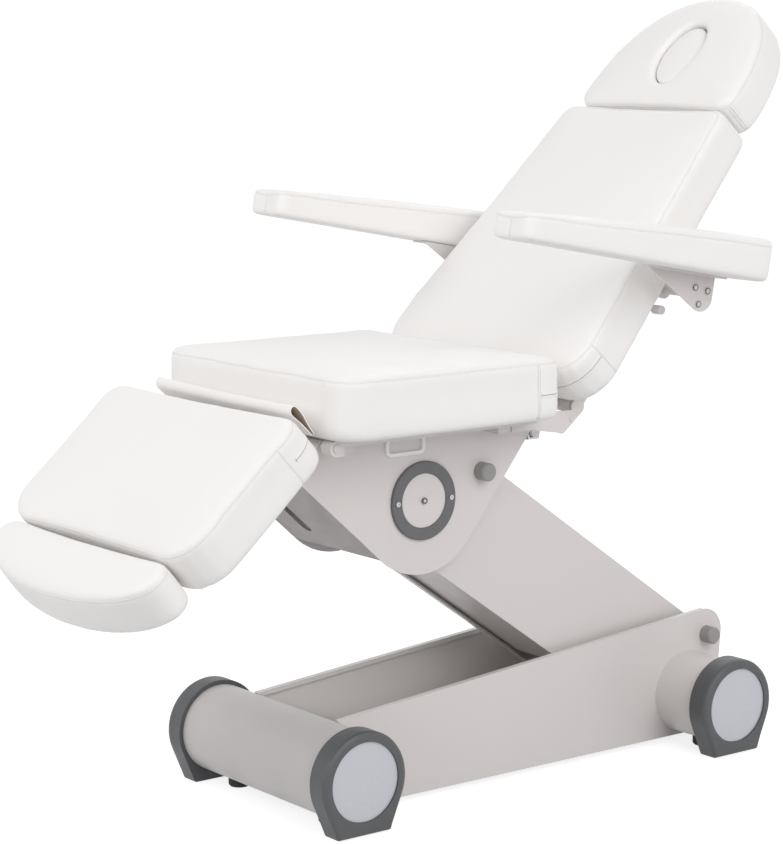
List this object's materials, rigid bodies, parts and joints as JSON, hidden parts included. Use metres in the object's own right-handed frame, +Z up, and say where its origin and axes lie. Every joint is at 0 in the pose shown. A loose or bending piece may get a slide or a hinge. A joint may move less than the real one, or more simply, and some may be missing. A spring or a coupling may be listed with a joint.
{
  "type": "electric facial bed",
  "caption": "Electric facial and treatment bed: low base with round end caps, sloping lift arm, padded seat, back, head with face hole, leg and foot sections, tilting armrests",
  "frame": {"origin": "on the floor under the middle of the whole bed as pictured", "axes": "X across the bed, +Y towards the head end, +Z up"},
  "size_m": [0.896, 1.726, 1.5469],
  "materials": {
    "painted_frame": "light warm grey powder coat, satin",
    "end_cap": "dark grey moulded plastic",
    "cap_lens": "pale glossy disc",
    "black_plastic": "black moulded housing",
    "rubber_foot": "black rubber",
    "knob": "grey moulded cap",
    "bare_steel": "zinc plated steel",
    "hanger": "off-white coated wire",
    "board": "pale plywood",
    "upholstery": "white leatherette, soft satin"
  },
  "bodies": {
    "base": {"side_plate_right": "painted_frame", "side_plate_left": "painted_frame", "base_floor": "painted_frame", "tray_slope": "painted_frame", "front_tube": "painted_frame", "rear_tubes": "painted_frame", "rear_cover": "painted_frame", "front_caps": "end_cap", "rear_caps": "end_cap", "cap_lenses": "cap_lens", "base_feet": "rubber_foot", "lower_shaft": "bare_steel", "lower_knobs": "knob", "base_ears": "painted_frame", "control_box": "end_cap", "mains_inlet": "black_plastic"},
    "arm": {"arm_shell": "painted_frame", "arm_underplate": "painted_frame", "arm_crosstube": "bare_steel"},
    "link": {"parallel_link": "bare_steel"},
    "lift_drive": {"lift_motor": "black_plastic"},
    "lift_piston": {"lift_rod": "bare_steel"},
    "carriage": {"bracket_right": "painted_frame", "bracket_left": "painted_frame", "bracket_front": "painted_frame", "motor_mount": "painted_frame", "upper_shaft": "bare_steel", "upper_knobs": "knob", "link_pin": "bare_steel", "hinge_rings": "end_cap", "hinge_discs": "painted_frame", "ring_screws": "bare_steel", "remote_hanger": "hanger", "seat_frame": "painted_frame", "seat_board": "board", "seat_cushion": "upholstery", "seat_flap": "upholstery", "hinge_plates": "painted_frame", "back_motor": "black_plastic", "leg_motor": "black_plastic"},
    "back": {"back_frame": "painted_frame", "back_board": "board", "back_cushion": "upholstery"},
    "head": {"head_plate": "painted_frame", "head_cushion": "upholstery"},
    "plug": {"face_plug": "upholstery"},
    "armrest_right": {"rest_bracket_right": "painted_frame", "rest_board_right": "board", "rest_cushion_right": "upholstery"},
    "armrest_left": {"rest_bracket_left": "painted_frame", "rest_board_left": "board", "rest_cushion_left": "upholstery"},
    "leg": {"leg_frame": "painted_frame", "leg_board": "board", "leg_cushion": "upholstery"},
    "foot": {"foot_frame": "bare_steel", "foot_cushion": "upholstery"},
    "back_piston": {"back_rod": "bare_steel"},
    "leg_piston": {"leg_rod": "bare_steel"}
  },
  "joints": [
    {"name": "lift", "type": "hinge", "parent": "base", "child": "arm", "pos_m": [0, 0.65057, 0.21838], "axis": [-1, 0, 0], "range_deg": [-19, 2]},
    {"name": "seat_level", "type": "hinge", "parent": "arm", "child": "carriage", "pos_m": [0, 0.03055, 0.63501], "axis": [-1, 0, 0], "range_deg": [-2.2, 19.2]},
    {"name": "link_swing", "type": "hinge", "parent": "base", "child": "link", "pos_m": [0, 0.50567, 0.17598], "axis": [-1, 0, 0], "range_deg": [-19.2, 2.2]},
    {"name": "lift_motor_tilt", "type": "hinge", "parent": "base", "child": "lift_drive", "pos_m": [0, 0.45527, 0.07], "axis": [-1, 0, 0], "range_deg": [-21, 2.5]},
    {"name": "lift_rod_slide", "type": "slide", "parent": "lift_drive", "child": "lift_piston", "axis": [0, -0.5655, 0.8248], "range_m": [-0.085, 0.01]},
    {"name": "backrest_recline", "type": "hinge", "parent": "carriage", "child": "back", "pos_m": [0, 0.21805, 0.75291], "axis": [1, 0, 0], "range_deg": [-47.5, 22.5]},
    {"name": "back_rod_slide", "type": "slide", "parent": "carriage", "child": "back_piston", "axis": [0, 1, 0], "range_m": [-0.058, 0.028]},
    {"name": "legrest_tilt", "type": "hinge", "parent": "carriage", "child": "leg", "pos_m": [0, -0.39145, 0.73291], "axis": [-1, 0, 0], "range_deg": [-38, 42], "deforming": ["seat_flap"]},
    {"name": "leg_rod_slide", "type": "slide", "parent": "carriage", "child": "leg_piston", "axis": [0, -1, 0], "range_m": [-0.031, 0.034]},
    {"name": "footrest_slide", "type": "slide", "parent": "leg", "child": "foot", "axis": [0, -0.7431, -0.6691], "range_m": [0, 0.12]},
    {"name": "headrest_tilt", "type": "hinge", "parent": "back", "child": "head", "pos_m": [0, 0.67475, 1.25131], "axis": [1, 0, 0], "range_deg": [-35, 0]},
    {"name": "face_plug_lift", "type": "slide", "parent": "head", "child": "plug", "axis": [0, -0.7373, 0.6756], "range_m": [0, 0.13]},
    {"name": "armrest_right_swing", "type": "hinge", "parent": "back", "child": "armrest_right", "pos_m": [0, 0.41508, 0.97385], "axis": [-1, 0, 0], "range_deg": [-48, 60]},
    {"name": "armrest_left_swing", "type": "hinge", "parent": "back", "child": "armrest_left", "pos_m": [0, 0.41508, 0.97385], "axis": [-1, 0, 0], "range_deg": [-48, 60]}
  ],
  "couplings": [
    {"joint": "seat_level", "follows": "lift", "ratio": -1},
    {"joint": "link_swing", "follows": "lift", "ratio": 1},
    {"joint": "lift_motor_tilt", "follows": "lift", "ratio": 1.0475},
    {"joint": "lift_rod_slide", "follows": "lift", "m_per_rad": 0.24494},
    {"joint": "back_rod_slide", "follows": "backrest_recline", "m_per_rad": 0.067208},
    {"joint": "leg_rod_slide", "follows": "legrest_tilt", "m_per_rad": 0.042055}
  ]
}
